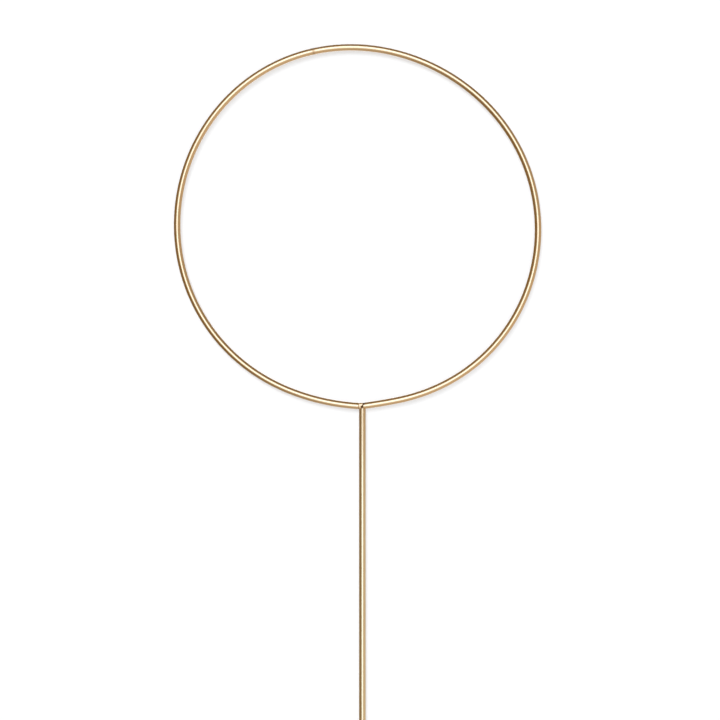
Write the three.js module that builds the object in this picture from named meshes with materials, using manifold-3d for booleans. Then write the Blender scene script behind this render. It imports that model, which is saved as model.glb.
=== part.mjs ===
// Wreath frame on a stake: one wire bent into a hoop, standing on a straight round rod that is
// pushed into soil or floral foam. Millimetres, +Z up along the stake, hoop in the XZ plane,
// origin at the centre of the stake's cut lower end. Angles run anticlockwise from +X, in degrees.
import * as THREE from 'three';
import { mergeVertices } from 'three/addons/utils/BufferGeometryUtils.js';
import Module from 'manifold-3d';

// Driving dimensions.
const HOOP_RADIUS = 97.9; // mean radius of the wire's centre line
const HOOP_WIRE_DIAMETER = 3.6;
const HOOP_CENTRE = new THREE.Vector3(-2.85, 0, 400); // welded a little off the stake's axis
const STAKE_DIAMETER = 3.6;
const STAKE_END_CHAMFER = 0.4; // the burr ground off the cut lower end
const WELD_SWELL = 0.1; // how far the weld stands proud of the wire
const WELD_GAP = 0.3; // clearance kept between the weld, the stake and the wire's ends

// A hand-sprung hoop isn't a true circle: it has a slight oval and a few smaller waves of more lobes.
const WAVES = [
  { lobes: 2, height: 1.1, crest: -28.5 },
  { lobes: 3, height: 0.38, crest: -15.3 },
  { lobes: 4, height: 0.2, crest: 33 },
  { lobes: 5, height: 0.07, crest: 26.6 },
];

// The wire comes straighter out of the bending rolls at both ends, so the ends rise off the circle
// and meet in a shallow V. The left end is cut short of the V, and the weld fills what is left.
const V_ANGLE = 271.5;
const RIGHT_END = { angle: 271.55, rise: 1.16, stretch: 11.8 };
const LEFT_END = { angle: 270.48, rise: 1.22, stretch: 26.5 };
const FULL_TURN = 360;

// Fineness of the facets.
const HOOP_STEPS = 108;
const WIRE_ARC_SEGMENTS = 8; // half the number of sides of the wire's section
const STAKE_SIDES = 24;
const WELD_RINGS = 6;
const COPE_REACH = 4; // degrees of hoop line on each side of the V that the stake's end is cut to
const COPE_STEPS = 8;

const GOLD = { color: 0xc9a468, roughness: 0.3, metalness: 1 };
const WELD_GOLD = { color: 0xc4a273, roughness: 0.42, metalness: 1 };

// Radius of the hoop's centre line at an angle: the circle, its waves, and the rise of the end that
// lies on that side of the V.
function hoopRadius(angle) {
  let radius = HOOP_RADIUS;
  for (const { lobes, height, crest } of WAVES) {
    radius += height * Math.cos(lobes * THREE.MathUtils.degToRad(angle - crest));
  }
  const pastV = THREE.MathUtils.euclideanModulo(angle - V_ANGLE + FULL_TURN / 2, FULL_TURN) - FULL_TURN / 2;
  const end = pastV < 0 ? LEFT_END : RIGHT_END;
  return radius + end.rise * Math.max(0, 1 - Math.abs(pastV) / end.stretch) ** 2;
}

// Point of the hoop's centre line at an angle.
function hoopPoint(angle, target = new THREE.Vector3()) {
  const turn = THREE.MathUtils.degToRad(angle);
  const radius = hoopRadius(angle);
  return target.set(radius * Math.cos(turn), 0, radius * Math.sin(turn)).add(HOOP_CENTRE);
}

// A stretch of the hoop's centre line, from one angle to another.
class HoopLine extends THREE.Curve {
  constructor(from, to) {
    super();
    this.from = from;
    this.to = to;
    this.arcLengthDivisions = FULL_TURN * 2;
  }

  getPoint(t, target) {
    return hoopPoint(THREE.MathUtils.lerp(this.from, this.to, t), target);
  }
}

// A round wire of the given radius along a stretch of the hoop's line.
function wireGeometry(line, radius, steps) {
  const section = new THREE.Shape().absarc(0, 0, radius, 0, 2 * Math.PI);
  return new THREE.ExtrudeGeometry(section, { extrudePath: line, steps, curveSegments: WIRE_ARC_SEGMENTS });
}

// A turned solid from (radius, height) pairs, with its axis along +Z.
function turnedGeometry(profile, sides) {
  const points = profile.map(([radius, height]) => new THREE.Vector2(radius, height));
  return new THREE.LatheGeometry(points, sides).rotateX(Math.PI / 2);
}

const wasm = await Module();
wasm.setup();

// A closed geometry as a solid that can be cut.
function toSolid(geometry) {
  const bare = geometry.clone();
  bare.deleteAttribute('normal');
  bare.deleteAttribute('uv');
  const merged = mergeVertices(bare);
  const vertProperties = new Float32Array(merged.attributes.position.array);
  const triVerts = new Uint32Array(merged.index.array);
  return new wasm.Manifold(new wasm.Mesh({ numProp: 3, vertProperties, triVerts }));
}

// A cut solid as a geometry again.
function toGeometry(solid) {
  const { vertProperties, triVerts } = solid.getMesh();
  const geometry = new THREE.BufferGeometry();
  geometry.setAttribute('position', new THREE.BufferAttribute(vertProperties, 3));
  geometry.setIndex(new THREE.BufferAttribute(triVerts, 1));
  geometry.computeVertexNormals();
  return geometry;
}

function namedMesh(name, geometry, finish) {
  const mesh = new THREE.Mesh(geometry, new THREE.MeshStandardMaterial(finish));
  mesh.name = name;
  return mesh;
}

// The hoop: one wire from its right-hand end, over the top, to its left-hand end.
function hoopWire() {
  const line = new HoopLine(RIGHT_END.angle, LEFT_END.angle + FULL_TURN);
  return namedMesh('hoop_wire', wireGeometry(line, HOOP_WIRE_DIAMETER / 2, HOOP_STEPS), GOLD);
}

// The weld that closes the hoop over the stake: a short barrel as thick as the wire, a little proud
// in the middle, lying in the gap between the wire's two ends.
function weldBead() {
  const left = hoopPoint(LEFT_END.angle);
  const right = hoopPoint(RIGHT_END.angle);
  const halfLength = left.distanceTo(right) / 2 - WELD_GAP;
  const profile = [[0, -halfLength]];
  for (let ring = 0; ring <= WELD_RINGS; ring += 1) {
    const along = (2 * ring) / WELD_RINGS - 1;
    profile.push([HOOP_WIRE_DIAMETER / 2 + WELD_SWELL * (1 - along * along), along * halfLength]);
  }
  profile.push([0, halfLength]);
  const bead = namedMesh('weld_bead', turnedGeometry(profile, WIRE_ARC_SEGMENTS * 2), WELD_GOLD);
  bead.position.lerpVectors(left, right, 0.5);
  bead.quaternion.setFromUnitVectors(new THREE.Vector3(0, 0, 1), right.clone().sub(left).normalize());
  return bead;
}

// The stake: a straight round rod, chamfered at its cut lower end. Its top is coped, so that it
// cups the underside of the hoop where the two are welded.
function stakeRod() {
  const radius = STAKE_DIAMETER / 2;
  const blankLength = hoopPoint(V_ANGLE).z;
  const blank = turnedGeometry([
    [0, 0],
    [radius - STAKE_END_CHAMFER, 0],
    [radius, STAKE_END_CHAMFER],
    [radius, blankLength],
    [0, blankLength],
  ], STAKE_SIDES);
  const copeLine = new HoopLine(V_ANGLE - COPE_REACH, V_ANGLE + COPE_REACH);
  const copeRadius = HOOP_WIRE_DIAMETER / 2 + WELD_SWELL + WELD_GAP;
  const coped = toSolid(blank).subtract(toSolid(wireGeometry(copeLine, copeRadius, COPE_STEPS)));
  return namedMesh('stake_rod', toGeometry(coped), GOLD);
}

const wreathFrame = new THREE.Group();
wreathFrame.add(hoopWire(), weldBead(), stakeRod());

export default wreathFrame;
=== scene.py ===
import math

import bpy
import numpy as np
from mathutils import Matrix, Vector


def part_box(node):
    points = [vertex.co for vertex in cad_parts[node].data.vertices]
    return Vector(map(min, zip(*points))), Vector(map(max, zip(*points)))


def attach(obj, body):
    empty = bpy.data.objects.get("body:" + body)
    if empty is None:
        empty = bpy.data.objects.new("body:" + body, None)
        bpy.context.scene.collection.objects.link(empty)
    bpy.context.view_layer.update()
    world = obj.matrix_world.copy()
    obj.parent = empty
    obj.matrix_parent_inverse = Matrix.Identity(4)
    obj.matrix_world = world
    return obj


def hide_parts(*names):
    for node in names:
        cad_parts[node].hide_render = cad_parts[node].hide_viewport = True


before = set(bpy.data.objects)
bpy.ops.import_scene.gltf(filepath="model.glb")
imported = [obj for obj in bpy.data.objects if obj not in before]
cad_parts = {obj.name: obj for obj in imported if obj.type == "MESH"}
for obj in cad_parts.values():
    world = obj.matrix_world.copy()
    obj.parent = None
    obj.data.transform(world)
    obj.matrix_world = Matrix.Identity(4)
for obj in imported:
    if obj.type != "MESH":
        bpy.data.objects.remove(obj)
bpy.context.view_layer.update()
scene = bpy.context.scene

# The camera: a long lens square on to the hoop, level with the middle of what it takes in. The hoop
# fills the upper half of the view and the stake runs out of it at the bottom.
VIEW_WIDTH = 0.3926  # metres taken in from left to right, measured at the hoop
VIEW_CENTRE = (-0.0013, 0.0, 0.32707)
LENS = 100.0
SENSOR_WIDTH = 36.0

lens_data = bpy.data.cameras.new("camera")
lens_data.lens = LENS
lens_data.sensor_width = SENSOR_WIDTH
camera = bpy.data.objects.new("camera", lens_data)
scene.collection.objects.link(camera)
view_distance = VIEW_WIDTH * LENS / SENSOR_WIDTH
camera.location = (VIEW_CENTRE[0], VIEW_CENTRE[1] - view_distance, VIEW_CENTRE[2])
camera.rotation_euler = (math.radians(90), 0, 0)
scene.camera = camera
scene.view_settings.view_transform = "Standard"


# The stage: a white floor that the stake stands on and a white board close behind the hoop, which
# catches the hoop's soft shadow. Both are lit a little from within, so that they come out nearly as
# white as the room, and gloss sees neither. The board shows only from the front.
FLOOR_SIZE = 12.0
BOARD_WIDTH = 0.9
BOARD_HEIGHT = 0.7
BOARD_CLEARANCE = 0.0004  # between the back of the wire and the board
CARD_WHITE = (0.50, 0.50, 0.50)
BOARD_GLOW = 0.52
FLOOR_GLOW = 0.62
FAR_GLOW = 1.0  # of the floor where it has blended into the room
FADE_START = 0.7  # metres from the stake at which the floor begins to blend into the room
FADE_LENGTH = 1.5


class Signal:
    """A socket on which Python's arithmetic adds Math nodes."""

    def __init__(self, socket):
        self.socket = socket
        self.tree = socket.id_data

    def node(self, kind, settings=(), inputs=(), output=0):
        """The chosen output of a new node in the same tree."""
        return add_node(self.tree, kind, settings, inputs, output)

    def math(self, operation, *values, **settings):
        """A Math node that works on this socket and then the values."""
        choices = {"operation": operation, **settings}
        return self.node("ShaderNodeMath", choices, enumerate((self, *values)))

    def __add__(self, other):
        return self.math("ADD", other)

    __radd__ = __add__

    def __mul__(self, other):
        return self.math("MULTIPLY", other)

    __rmul__ = __mul__

    def __sub__(self, other):
        return self.math("SUBTRACT", other)

    def __rsub__(self, other):
        return (self * -1) + other

    def __truediv__(self, other):
        return self.math("DIVIDE", other)


def add_node(tree, kind, settings=(), inputs=(), output=0):
    """A node of the given kind. Its settings are made first, then its sockets filled or linked."""
    node = tree.nodes.new(kind)
    for name, value in dict(settings).items():
        setattr(node, name, value)
    for key, value in dict(inputs).items():
        if isinstance(value, Signal):
            tree.links.new(value.socket, node.inputs[key])
        else:
            node.inputs[key].default_value = value
    return Signal(node.outputs[output]) if node.outputs else None


def blank_material(name):
    """A material with an empty node tree."""
    material = bpy.data.materials.new(name)
    material.use_nodes = True
    material.node_tree.nodes.clear()
    return material


def stage_plane(name, corners, material):
    """A flat four-cornered piece of the stage."""
    mesh = bpy.data.meshes.new(name)
    mesh.from_pydata(corners, [], [(0, 1, 2, 3)])
    mesh.materials.append(material)
    plane = bpy.data.objects.new(name, mesh)
    scene.collection.objects.link(plane)
    return plane


def white_card(tree, glow):
    """The shader of matt white card that also glows evenly."""
    matt = add_node(tree, "ShaderNodeBsdfDiffuse", inputs={"Color": (*CARD_WHITE, 1)})
    light = matt.node("ShaderNodeEmission", inputs={"Strength": glow})
    return matt.node("ShaderNodeAddShader", inputs={0: matt, 1: light})


def floor_material():
    """White card near the stake, blending into the plain white of the room further off."""
    material = blank_material("floor_card")
    card = white_card(material.node_tree, FLOOR_GLOW)
    place = card.node("ShaderNodeTexCoord", output="Object")
    distance = card.node("ShaderNodeVectorMath", {"operation": "LENGTH"}, {0: place}, output=1)
    fade = (distance - FADE_START).math("DIVIDE", FADE_LENGTH, use_clamp=True)
    far = card.node("ShaderNodeEmission", inputs={"Strength": FAR_GLOW})
    blend = card.node("ShaderNodeMixShader", inputs={0: fade, 1: card, 2: far})
    card.node("ShaderNodeOutputMaterial", inputs={"Surface": blend})
    return material


def board_material():
    """White card, clear from behind so that the hoop can be looked at from the back."""
    material = blank_material("board_card")
    card = white_card(material.node_tree, BOARD_GLOW)
    clear = card.node("ShaderNodeBsdfTransparent")
    from_behind = card.node("ShaderNodeNewGeometry", output="Backfacing")
    side = card.node("ShaderNodeMixShader", inputs={0: from_behind, 1: card, 2: clear})
    card.node("ShaderNodeOutputMaterial", inputs={"Surface": side})
    return material


half_floor = FLOOR_SIZE / 2
floor = stage_plane(
    "floor",
    [
        (-half_floor, -half_floor, 0),
        (half_floor, -half_floor, 0),
        (half_floor, half_floor, 0),
        (-half_floor, half_floor, 0),
    ],
    floor_material(),
)
board_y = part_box("stake_rod")[1].y + BOARD_CLEARANCE
board = stage_plane(
    "board",
    [
        (-BOARD_WIDTH / 2, board_y, 0),
        (BOARD_WIDTH / 2, board_y, 0),
        (BOARD_WIDTH / 2, board_y, BOARD_HEIGHT),
        (-BOARD_WIDTH / 2, board_y, BOARD_HEIGHT),
    ],
    board_material(),
)
floor.visible_glossy = False
floor.visible_diffuse = False
board.visible_glossy = False
board.visible_shadow = False
board.visible_diffuse = False


# The light: a soft key from the upper left, for the shadow, and a studio that draws the bands on
# the wire. A tall cool panel that fades towards the floor stands in front and another behind. The
# rest of the room is a dim warm brown, lighter and whiter towards the lower right.
KEY_STRENGTH = 1.6
KEY_ANGLE = math.radians(28)
KEY_FROM = (-0.42, -1.0, 0.72)
PANEL_LEVEL = 2.9
PANEL_COLOUR = (0.80, 1.0, 1.28)
PANEL_HEIGHT = 0.28  # upward part of the direction to the panel's middle
PANEL_SPREAD_SIDEWAYS = 0.31
PANEL_SPREAD_ABOVE = 0.28
PANEL_SPREAD_BELOW = 0.62
ROOM_LEVEL = 0.24
ROOM_COLOUR = (1.0, 0.70, 0.29)
BRIGHT_SIDE_LEVEL = 0.46
BRIGHT_SIDE_COLOUR = (1.0, 0.97, 0.90)
BRIGHT_SIDE_FROM = (0.76, 0.0, -0.65)
BACKDROP_COLOUR = (1.0, 1.0, 1.0)  # the plain white that the camera sees past the hoop
BACKDROP_LEVEL = 1.0

key_data = bpy.data.lights.new("key", "SUN")
key_data.energy = KEY_STRENGTH
key_data.angle = KEY_ANGLE
key = bpy.data.objects.new("key", key_data)
scene.collection.objects.link(key)
key.rotation_euler = Vector(KEY_FROM).to_track_quat("Z", "Y").to_euler()
key.visible_glossy = False


def studio_light():
    """Light by direction. The panel falls off as exp(-(x/spread)^2 - (z/spread)^2) from its middle,
    with one spread above and another below, and the bright side grows with the cosine of the angle
    to where it lies."""
    world = bpy.data.worlds.new("studio")
    scene.world = world
    world.use_nodes = True
    tree = world.node_tree
    tree.nodes.clear()
    direction = add_node(tree, "ShaderNodeTexCoord", output="Generated")
    sideways = direction.node("ShaderNodeSeparateXYZ", inputs={0: direction}, output="X")
    upward = direction.node("ShaderNodeSeparateXYZ", inputs={0: direction}, output="Z")
    beside = sideways / PANEL_SPREAD_SIDEWAYS
    above = (upward - PANEL_HEIGHT).math("MAXIMUM", 0.0) / PANEL_SPREAD_ABOVE
    below = (PANEL_HEIGHT - upward).math("MAXIMUM", 0.0) / PANEL_SPREAD_BELOW
    panel = (-1 * (beside * beside + above * above + below * below)).math("EXPONENT")
    facing = sideways * BRIGHT_SIDE_FROM[0] + upward * BRIGHT_SIDE_FROM[2]
    bright_side = facing.math("MAXIMUM", 0.0)

    def glow(colour, level):
        inputs = {"Color": (*colour, 1), "Strength": level}
        return direction.node("ShaderNodeBackground", inputs=inputs)

    room = glow(ROOM_COLOUR, ROOM_LEVEL)
    side = glow(BRIGHT_SIDE_COLOUR, bright_side * BRIGHT_SIDE_LEVEL)
    panels = glow(PANEL_COLOUR, panel * PANEL_LEVEL)
    backdrop = glow(BACKDROP_COLOUR, BACKDROP_LEVEL)
    both = direction.node("ShaderNodeAddShader", inputs={0: room, 1: side})
    light = direction.node("ShaderNodeAddShader", inputs={0: both, 1: panels})
    seen = direction.node("ShaderNodeLightPath", output="Is Camera Ray")
    either = direction.node("ShaderNodeMixShader", inputs={0: seen, 1: light, 2: backdrop})
    direction.node("ShaderNodeOutputWorld", inputs={"Surface": either})


studio_light()


# The hoop: one length of drawn steel wire with a satin gold finish, sprung round a former into a
# slightly uneven ring. Its left end is sawn off square and its right end on a slant; the two meet
# in a shallow V over the stake. A clamp has left a dull brown mark across it near the top.
HOOP_RADIUS = 0.0979
HOOP_CENTRE = (-0.00285, 0.0, 0.400)
WAVES = (  # lobes, height in metres, angle of the first crest in degrees, anticlockwise from +X
    (2, 0.0011, -28.5),
    (3, 0.00038, -15.3),
    (4, 0.0002, 33.0),
    (5, 0.00007, 26.6),
)
V_ANGLE = 271.5
RIGHT_END_ANGLE, RIGHT_END_RISE, RIGHT_END_STRETCH = 271.63, 0.00116, 11.8
LEFT_END_ANGLE, LEFT_END_RISE, LEFT_END_STRETCH = 270.48, 0.00122, 26.5
HOOP_RINGS = 1400
WIRE_SIDES = 48
RIM_RINGS = 10
RIGHT_RIM_RADIUS = 0.0005
LEFT_RIM_RADIUS = 0.0003
RIM_CLEARANCE = 1.1  # rim radii from each end at which the plain wire begins
SLANT = 0.69  # how far the right end leans over, for each unit of height
SLANT_REACH = 0.004  # length of wire over which the lean dies out
GOLD = (0.86, 0.61, 0.36)
WIRE_ROUGHNESS = 0.27
CLAMP_MARK_ANGLE = 104.05
CLAMP_MARK_WIDTH = 0.0006
CLAMP_MARK_DULLNESS = 0.9
CLAMP_MARK_SCORCH = 0.15
# The pinhole is pushed in, and also darkened with painted shade in dark brown.
PINHOLE = (-0.00027, -0.00048)  # beside the stake's axis, and below the wire's centre line
PINHOLE_RADIUS = 0.00042
PINHOLE_DEPTH = 0.0009
# The crevice where the nugget meets the right end is darkened with painted shade, in dark brown.
CREVICE_WIDTH = 0.00033
CREVICE_SPREAD = 0.4  # how much wider it is at the top of the wire, as a share of that
CREVICE_SHADE = 0.96
CREVICE_FOOT = 0.0004  # height over which the crevice's painted shade fades out below the pinhole

# The finish of every piece. Scales are waves for each metre, along and round the wire for the die
# lines. The shares and roughnesses say how much each kind of unevenness adds.
DIE_LINE_SCALE = (60.0, 5200.0, 1.0)
DIE_LINE_DETAIL = 4.0
DIE_LINE_ROUGHNESS = 0.16
DRIFT_SCALE = 38.0
DRIFT_DETAIL = 3.0
DRIFT_ROUGHNESS = 0.08
GRAIN_SCALE = 4200.0
GRAIN_DETAIL = 2.0
GRAIN_HEIGHT = 0.3
DULL_GRAIN = 2  # how much more grain stands up where the metal is dull
NOISE_MIDDLE = 0.5
SPECK_LEVEL = 0.66
SPECK_SHARPNESS = 6.0
SPECK_SHARE = 0.2
SPECK_ROUGHNESS = 0.1
PALE_SHARE = 0.90
PALE_LIFT = 0.07
PALE_DRIFT = 0.5  # most of the pale gold that the drift mixes in
BLOOM = (0.73, 0.48, 0.26)
BLOOM_SHARE = 0.8
DULL_ROUGHNESS = 0.16
# Dark brown: a real clamp bite, and painted shade in the crevice and the pinhole.
BURNT_AND_SHADE = (0.11, 0.05, 0.008)
BURN_AND_SHADE_ROUGHNESS = 0.3
BUMP_STRENGTH = 0.35
BUMP_DEPTH = 0.00001
COAT_WEIGHT = 0.25
COAT_ROUGHNESS = 0.12

wire_radius = (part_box("hoop_wire")[1].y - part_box("hoop_wire")[0].y) / 2


def hoop_line(angle):
    """Points of the wire's centre line at angles in degrees: a circle, plus a cosine wave for each
    kind of lobe, plus the square of the closeness to the V on each side of it."""
    radius = HOOP_RADIUS + sum(h * np.cos(n * np.radians(angle - crest)) for n, h, crest in WAVES)
    past_v = (angle - V_ANGLE + 180) % 360 - 180
    rise = np.where(past_v < 0, LEFT_END_RISE, RIGHT_END_RISE)
    stretch = np.where(past_v < 0, LEFT_END_STRETCH, RIGHT_END_STRETCH)
    radius = radius + rise * np.clip(1 - np.abs(past_v) / stretch, 0, None) ** 2
    turn = np.radians(angle)
    zero = np.zeros_like(turn)
    return np.stack([radius * np.cos(turn), zero, radius * np.sin(turn)], axis=-1) + HOOP_CENTRE


def unit(vectors):
    """The vectors at length one."""
    return vectors / np.linalg.norm(vectors, axis=-1, keepdims=True)


def tube_grid(centres, radii, sides):
    """A round tube in a plane square to Y: point = centre + radius (cos a * outward + sin a * Y),
    where outward is the path's direction turned a quarter about Y. The angle a runs round the
    tube, and one row of the grid is one ring. Each end's first ring faces the way the next does."""
    along = np.gradient(centres, axis=0)
    along[[0, -1]] = along[[1, -2]]
    along = unit(along)
    outward = np.stack([along[:, 2], np.zeros(len(along)), -along[:, 0]], axis=-1)
    turn = np.linspace(0, 2 * np.pi, sides, endpoint=False)
    across = np.cos(turn)[None, :, None] * outward[:, None, :]
    across = across + np.sin(turn)[None, :, None] * np.array([0.0, 1.0, 0.0])
    return centres[:, None, :] + radii[:, None, None] * across


def path_length(centres):
    """Distance along a row of points, from the first."""
    steps = np.linalg.norm(np.diff(centres, axis=0), axis=-1)
    return np.concatenate([[0], np.cumsum(steps)])


def closed_skin(name, grid, along, girth, marks):
    """A closed mesh from a grid of rings, whose first and last rings have shrunk to poles. Its UV
    map holds metres along and round the piece, and marks are numbers kept at each point."""
    rings, sides = grid.shape[:2]
    points = np.concatenate([grid[:1, 0], grid[1:-1].reshape(-1, 3), grid[-1:, 0]])
    last = len(points) - 1
    row, column = np.meshgrid(np.arange(rings - 3), np.arange(sides), indexing="ij")
    row, column = row.ravel(), column.ravel()
    following = (column + 1) % sides
    near, far = 1 + row * sides, 1 + (row + 1) * sides
    quads = np.stack([near + column, near + following, far + following, far + column], axis=-1)
    side = np.arange(sides)
    beside = (side + 1) % sides
    first_fan = np.stack([np.zeros(sides, int), 1 + beside, 1 + side], axis=-1)
    end_row = 1 + (rings - 3) * sides
    last_fan = np.stack([np.full(sides, last), end_row + side, end_row + beside], axis=-1)

    mesh = bpy.data.meshes.new(name)
    mesh.from_pydata(points, [], [*first_fan.tolist(), *quads.tolist(), *last_fan.tolist()])
    mesh.polygons.foreach_set("use_smooth", np.ones(len(mesh.polygons), bool))

    width = girth / sides
    near_u, far_u = along[1 + row], along[2 + row]
    quad_uv = np.stack(
        [near_u, column * width, near_u, (column + 1) * width]
        + [far_u, (column + 1) * width, far_u, column * width],
        axis=-1,
    )
    start = np.full(sides, along[0])
    first_ring = np.full(sides, along[1])
    first_uv = np.stack(
        [start, (side + 0.5) * width, first_ring, (side + 1) * width, first_ring, side * width],
        axis=-1,
    )
    finish = np.full(sides, along[-1])
    last_ring = np.full(sides, along[-2])
    last_uv = np.stack(
        [finish, (side + 0.5) * width, last_ring, side * width, last_ring, (side + 1) * width],
        axis=-1,
    )
    layer = mesh.uv_layers.new(name="metres")
    every_uv = np.concatenate([first_uv.ravel(), quad_uv.ravel(), last_uv.ravel()])
    layer.data.foreach_set("uv", every_uv.astype(np.float32))

    for mark, values in marks.items():
        kept = np.concatenate([values[:1, 0], values[1:-1].ravel(), values[-1:, 0]])
        attribute = mesh.attributes.new(mark, "FLOAT", "POINT")
        attribute.data.foreach_set("value", kept.astype(np.float32))
    piece = bpy.data.objects.new(name, mesh)
    scene.collection.objects.link(piece)
    return piece


def rounded_end(depth, rings):
    """How far a rounded end has run, in metres, and how wide it still is, as a share, from full
    width to the tip: a quarter of an ellipse, depth * sin and cos."""
    turn = np.linspace(0, np.pi / 2, rings)
    return depth * np.sin(turn), np.cos(turn)


def hoop_grid():
    """The centres and radii of the hoop's rings: the right end's face and rounded rim, the wire
    round its line, and the left end's rim and face. A rim narrows as a quarter of a circle, and
    the rings crowd towards both ends as (1 - cos) / 2."""
    share = (1 - np.cos(np.linspace(0, np.pi, HOOP_RINGS))) / 2
    line = hoop_line(RIGHT_END_ANGLE + share * (LEFT_END_ANGLE + 360 - RIGHT_END_ANGLE))
    away = path_length(line)
    from_right = away > RIGHT_RIM_RADIUS * RIM_CLEARANCE
    from_left = away[-1] - away > LEFT_RIM_RADIUS * RIM_CLEARANCE
    body = line[from_right & from_left]
    right_way = unit(line[0] - line[1])
    left_way = unit(line[-1] - line[-2])
    right_run, right_width = rounded_end(RIGHT_RIM_RADIUS, RIM_RINGS)
    left_run, left_width = rounded_end(LEFT_RIM_RADIUS, RIM_RINGS)
    right_rim = line[0] + (right_run[::-1, None] - RIGHT_RIM_RADIUS) * right_way
    left_rim = line[-1] + (left_run[:, None] - LEFT_RIM_RADIUS) * left_way
    centres = np.concatenate([line[:1], right_rim, body, left_rim, line[-1:]])
    right_radii = wire_radius - RIGHT_RIM_RADIUS * (1 - right_width[::-1])
    left_radii = wire_radius - LEFT_RIM_RADIUS * (1 - left_width)
    body_radii = np.full(len(body), wire_radius)
    return centres, np.concatenate([[0.0], right_radii, body_radii, left_radii, [0.0]])


def lean(rings, centres, closeness):
    """Rings moved towards a slanting plane by their closeness, from 0 to 1. On it, a point's X is
    that of the ring's centre plus the slant times its height above the centre."""
    height = rings[..., 2] - centres[:, None, 2]
    leaning = rings.copy()
    off_plane = centres[:, None, 0] + SLANT * height - rings[..., 0]
    leaning[..., 0] += off_plane * closeness[:, None]
    return leaning


def pinhole(points):
    """How far into the pinhole points are, from 0 to 1: exp(-(d / radius)^2), where d is the
    distance from its axis as seen from the front. Points at the back have none of it."""
    middle = hoop_line(np.array([V_ANGLE]))[0]
    beside = points[..., 0] - PINHOLE[0]
    above = points[..., 2] - middle[2] - PINHOLE[1]
    return np.exp(-(beside**2 + above**2) / PINHOLE_RADIUS**2) * (points[..., 1] < 0)


def crevice_painted_shade(points):
    """The painted shade down the slanting crevice, in dark brown: exp(-(distance / width)^2) from
    the line that leans over by the slant. It widens upwards, fades out below the pinhole, and stops
    above the wire."""
    tip = hoop_line(np.array([RIGHT_END_ANGLE]))[0]
    height = points[..., 2] - tip[2]
    beside = points[..., 0] - tip[0] - SLANT * height
    above_foot = np.clip((height - PINHOLE[1]) / CREVICE_FOOT + 1, 0, 1)
    above_foot = above_foot * (height < 2 * wire_radius)
    width = CREVICE_WIDTH * (1 + CREVICE_SPREAD * np.clip(height / wire_radius, 0, 1))
    return CREVICE_SHADE * np.exp(-((beside / width) ** 2)) * above_foot


def gold_material(name, base, roughness):
    """Satin gold over drawn wire: fine die lines along it, a slow drift of colour, a few tiny
    specks, a duller and browner bloom where it was heated or clamped (the dull mark), and a dark
    brown both where the clamp bit and as painted shade in the crevice and the pinhole (the
    burn-and-shade mark)."""
    material = blank_material(name)
    metres = add_node(material.node_tree, "ShaderNodeUVMap", {"uv_map": "metres"})
    place = metres.node("ShaderNodeTexCoord", output="Object")
    dull = metres.node("ShaderNodeAttribute", {"attribute_name": "dull"}, output="Fac")
    burn_and_shade = metres.node("ShaderNodeAttribute", {"attribute_name": "burn_and_shade"}, output="Fac")

    def noise(where, scale, detail):
        inputs = {"Vector": where, "Scale": scale, "Detail": detail}
        return metres.node("ShaderNodeTexNoise", inputs=inputs)

    def blend(share, first, second):
        """A mix of two colours, which go in at sockets 6 and 7 and come out at 2."""
        inputs = {"Factor": share, 6: first, 7: second}
        return metres.node("ShaderNodeMix", {"data_type": "RGBA"}, inputs, output=2)

    stretched = metres.node("ShaderNodeMapping", inputs={"Vector": metres, "Scale": DIE_LINE_SCALE})
    die_lines = noise(stretched, 1.0, DIE_LINE_DETAIL)
    drift = noise(place, DRIFT_SCALE, DRIFT_DETAIL)
    grain = noise(place, GRAIN_SCALE, GRAIN_DETAIL)
    specks = (grain - SPECK_LEVEL).math("MULTIPLY", SPECK_SHARPNESS, use_clamp=True)

    pale = (*(PALE_SHARE * c + PALE_LIFT for c in base), 1)
    drifted = blend(drift * PALE_DRIFT, (*base, 1), pale)
    bloomed = blend(dull * BLOOM_SHARE + specks * SPECK_SHARE, drifted, (*BLOOM, 1))
    # Dark brown where the clamp bit, and painted shade in the crevice and the pinhole.
    colour = blend(burn_and_shade, bloomed, (*BURNT_AND_SHADE, 1))
    unevenness = (die_lines - NOISE_MIDDLE) * DIE_LINE_ROUGHNESS
    unevenness = unevenness + (drift - NOISE_MIDDLE) * DRIFT_ROUGHNESS
    marks = dull * DULL_ROUGHNESS + specks * SPECK_ROUGHNESS + burn_and_shade * BURN_AND_SHADE_ROUGHNESS
    height = die_lines * (1 - GRAIN_HEIGHT) + grain * GRAIN_HEIGHT * (1 + dull * DULL_GRAIN)
    bump = metres.node(
        "ShaderNodeBump",
        inputs={"Strength": BUMP_STRENGTH, "Distance": BUMP_DEPTH, "Height": height},
    )
    metal = metres.node(
        "ShaderNodeBsdfPrincipled",
        inputs={
            "Base Color": colour,
            "Metallic": 1.0,
            "Roughness": roughness + unevenness + marks,
            "Normal": bump,
            "Coat Weight": (1 - burn_and_shade) * COAT_WEIGHT,
            "Coat Roughness": COAT_ROUGHNESS,
        },
    )
    metres.node("ShaderNodeOutputMaterial", inputs={"Surface": metal})
    return material


hoop_centres, hoop_radii = hoop_grid()
hoop_along = path_length(hoop_centres)
near_right_end = np.clip(1 - hoop_along / SLANT_REACH, 0, 1) ** 2
hoop_rings = lean(tube_grid(hoop_centres, hoop_radii, WIRE_SIDES), hoop_centres, near_right_end)
mark_place = hoop_line(np.array([CLAMP_MARK_ANGLE]))[0]
from_mark = np.linalg.norm(hoop_centres - mark_place, axis=-1)
clamp_mark = np.exp(-((from_mark / CLAMP_MARK_WIDTH) ** 2))[:, None]
hoop_dull = np.repeat(CLAMP_MARK_DULLNESS * clamp_mark, WIRE_SIDES, axis=1)
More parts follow.
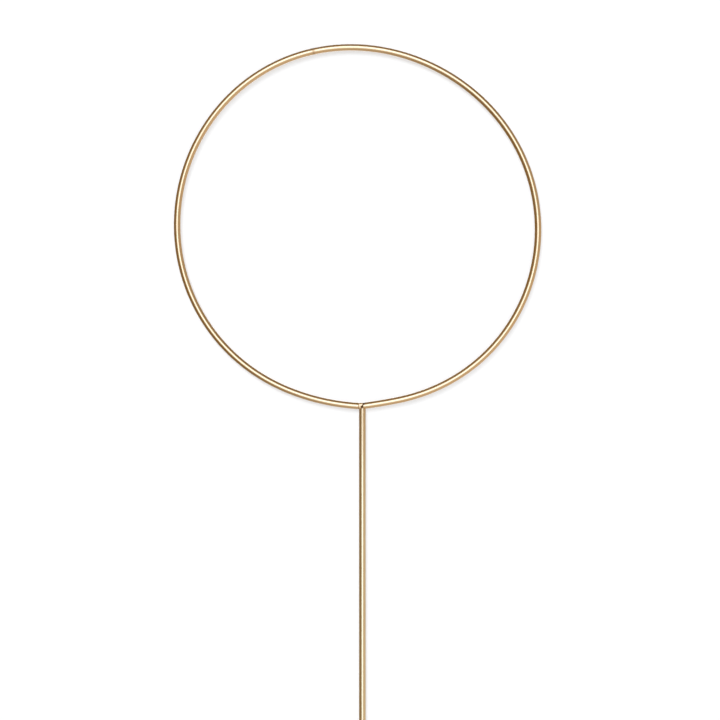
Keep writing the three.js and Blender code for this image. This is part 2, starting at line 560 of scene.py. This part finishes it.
# Painted shade darkens the pinhole and the crevice to dark brown; the clamp mark's brown is its
# own.
hoop_hole = pinhole(hoop_rings)
hoop_burn_and_shade = hoop_hole + crevice_painted_shade(hoop_rings) + CLAMP_MARK_SCORCH * clamp_mark
hoop_burn_and_shade = np.clip(hoop_burn_and_shade, 0, 1)
hoop_rings[..., 1] += hoop_hole * PINHOLE_DEPTH
hoop = closed_skin(
    "hoop_of_wire",
    hoop_rings,
    hoop_along,
    2 * math.pi * wire_radius,
    {"dull": hoop_dull, "burn_and_shade": hoop_burn_and_shade},
)
hoop.data.materials.append(gold_material("satin_gold_wire", GOLD, WIRE_ROUGHNESS))
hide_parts("hoop_wire")
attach(hoop, "root")


# The weld: a small nugget of metal that closes the hoop and holds it to the stake. It is about as
# thick as the wire but pressed a little square, with a shallow groove where it leaves the left end
# and a slanting crevice where it meets the right end. A pinhole in the crevice was never filled.
WELD_RINGS = 60
WELD_SIDES = 72
WELD_LEFT_LAP = 0.00025
WELD_RIGHT_LAP = 0.0001
WELD_RIM_RADIUS = 0.0004
WELD_SQUARENESS = 3.5
WELD_FLATNESS = 0.93  # its depth from front to back, as a share of a round one's
WELD_NECK = 0.07  # share of the radius lost in the groove at the left
NECK_REACH = 0.16  # of the nugget's length
LUMP_HEIGHT = 0.00004
WELD_GOLD = (0.88, 0.63, 0.38)
WELD_ROUGHNESS = 0.30
WELD_DULLNESS = 0.45


def weld_grid():
    """The nugget's rings. Their radius is the wire's, less a neck at the left, and narrows to the
    right as a quarter of a circle. Each ring is a superellipse |cos|^p + |sin|^p = 1 in the middle
    and round at both ends, going from one to the other as the square root of sin(pi s), where s
    is the share of the length. Low lumps follow sin(2a + 5s) cos(5a - 7s). The rings lean over
    towards the right, by the square of s, as the hoop's end does."""
    left, right = hoop_line(np.array([LEFT_END_ANGLE, RIGHT_END_ANGLE]))
    way = unit(right - left)
    left = left - way * WELD_LEFT_LAP
    right = right + way * WELD_RIGHT_LAP
    length = np.linalg.norm(right - left)
    rim_run, rim_width = rounded_end(WELD_RIM_RADIUS, RIM_RINGS)
    body_run = np.linspace(0, length - WELD_RIM_RADIUS, WELD_RINGS)
    run = np.concatenate([body_run, length - WELD_RIM_RADIUS + rim_run[1:]])
    share = run / length
    radii = wire_radius * (1 - WELD_NECK * np.exp(-((share / NECK_REACH) ** 2)))
    radii[WELD_RINGS:] -= WELD_RIM_RADIUS * (1 - rim_width[1:])
    centres = left + run[:, None] * way
    rings = tube_grid(centres, radii, WELD_SIDES)

    turn = np.linspace(0, 2 * np.pi, WELD_SIDES, endpoint=False)
    power_sum = np.abs(np.cos(turn)) ** WELD_SQUARENESS + np.abs(np.sin(turn)) ** WELD_SQUARENESS
    squared = power_sum ** (-1 / WELD_SQUARENESS)
    fullness = np.sqrt(np.sin(np.pi * share))
    lumps = np.sin(2 * turn + 5 * share[:, None]) * np.cos(5 * turn - 7 * share[:, None])
    reach = 1 + fullness[:, None] * (squared - 1 + lumps * LUMP_HEIGHT / wire_radius)
    rings = centres[:, None, :] + (rings - centres[:, None, :]) * reach[..., None]
    rings[..., 1] *= 1 - (1 - WELD_FLATNESS) * fullness[:, None]
    rings = lean(rings, centres, share**2)
    ends = np.repeat(rings[[0, -1]].mean(axis=1, keepdims=True), WELD_SIDES, axis=1)
    return np.concatenate([ends[:1], rings, ends[1:]])


weld_rings = weld_grid()
weld_along = path_length(weld_rings.mean(axis=1))
weld_hole = pinhole(weld_rings)
# Painted shade darkens the pinhole and the crevice to dark brown.
weld_painted_shade = np.clip(weld_hole + crevice_painted_shade(weld_rings), 0, 1)
weld_rings[..., 1] += weld_hole * PINHOLE_DEPTH
weld = closed_skin(
    "weld_nugget",
    weld_rings,
    weld_along,
    2 * math.pi * wire_radius,
    {"dull": np.full(weld_painted_shade.shape, WELD_DULLNESS), "burn_and_shade": weld_painted_shade},
)
weld.data.materials.append(gold_material("dull_gold_weld", WELD_GOLD, WELD_ROUGHNESS))
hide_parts("weld_bead")
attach(weld, "root")


# The stake: a straight drawn rod of the hoop's gauge, which took a slightly paler gold. Its lower
# end is cut square with the burr ground off. Its top was upset a little by the weld, so it cups the
# underside of the hoop with a small rounded shoulder.
STAKE_SIDES = 48
STAKE_RINGS = 120
STAKE_CHAMFER = 0.0004
SHOULDER_RISE = 0.0006
SHOULDER_RINGS = 10
FRONT_DROP = 0.00125  # from the wire's centre line to the shoulder, at the front and back
SIDE_DROP = 0.00172  # and at the left and right, where it meets the wire's underside
SEAT_SPAN = 3.0  # degrees of hoop line on each side of the V that the top is fitted to
SEAT_STEPS = 61
TOP_DULL_REACH = 0.0016
TOP_DULLNESS = 0.7
HEAT_REACH = 0.032  # length of rod below the weld that the heat left duller and browner
HEAT_DULLNESS = 0.6
STAKE_GOLD = (0.97, 0.79, 0.52)
STAKE_ROUGHNESS = 0.32


def stake_grid(radius):
    """The rod's rings: a flat foot, a straight chamfer, the plain rod, and a shoulder that narrows
    as a quarter of an ellipse. The top's height is the hoop's centre line less a drop that goes
    from the front one to the side one as the square root of 1 - (y / radius)^2."""
    turn = np.linspace(0, 2 * np.pi, STAKE_SIDES, endpoint=False)
    x, y = radius * np.cos(turn), radius * np.sin(turn)
    near_v = hoop_line(np.linspace(V_ANGLE - SEAT_SPAN, V_ANGLE + SEAT_SPAN, SEAT_STEPS))
    above = np.interp(x, near_v[:, 0], near_v[:, 2])
    to_side = np.sqrt(np.clip(1 - (y / radius) ** 2, 0, 1))
    top = above - FRONT_DROP - (SIDE_DROP - FRONT_DROP) * to_side

    flat = 1 - STAKE_CHAMFER / radius
    foot_widths = np.array([0, flat / 2, flat, (flat + 1) / 2, 1])
    foot_heights = np.array([0, 0, 0, STAKE_CHAMFER / 2, STAKE_CHAMFER])
    share = np.linspace(0, 1, STAKE_RINGS)[1:, None]
    body_heights = STAKE_CHAMFER + share * (top - STAKE_CHAMFER)
    run, width = rounded_end(SHOULDER_RISE, SHOULDER_RINGS)
    shoulder_heights = top + run[1:, None]

    heights = np.concatenate([np.repeat(foot_heights[:, None], STAKE_SIDES, 1), body_heights])
    heights = np.concatenate([heights, shoulder_heights])
    widths = np.concatenate([foot_widths, np.ones(STAKE_RINGS - 1), width[1:]])[:, None]
    grid = np.stack([x * widths, y * widths, heights], axis=-1)
    grid[-1] = grid[-1].mean(axis=0)
    return grid


stake_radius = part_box("stake_rod")[1].x
stake_rings = stake_grid(stake_radius)
stake_along = path_length(stake_rings.mean(axis=1))
from_top = np.abs(stake_rings[..., 2] - stake_rings[-1, 0, 2])
stake_dull = TOP_DULLNESS * np.exp(-from_top / TOP_DULL_REACH)
stake_dull = np.maximum(stake_dull, HEAT_DULLNESS * np.exp(-((from_top / HEAT_REACH) ** 2)))
stake = closed_skin(
    "stake_of_rod",
    stake_rings,
    stake_along,
    2 * math.pi * stake_radius,
    {"dull": stake_dull, "burn_and_shade": np.zeros(from_top.shape)},
)
stake.data.materials.append(gold_material("satin_gold_rod", STAKE_GOLD, STAKE_ROUGHNESS))
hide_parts("stake_rod")
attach(stake, "root")
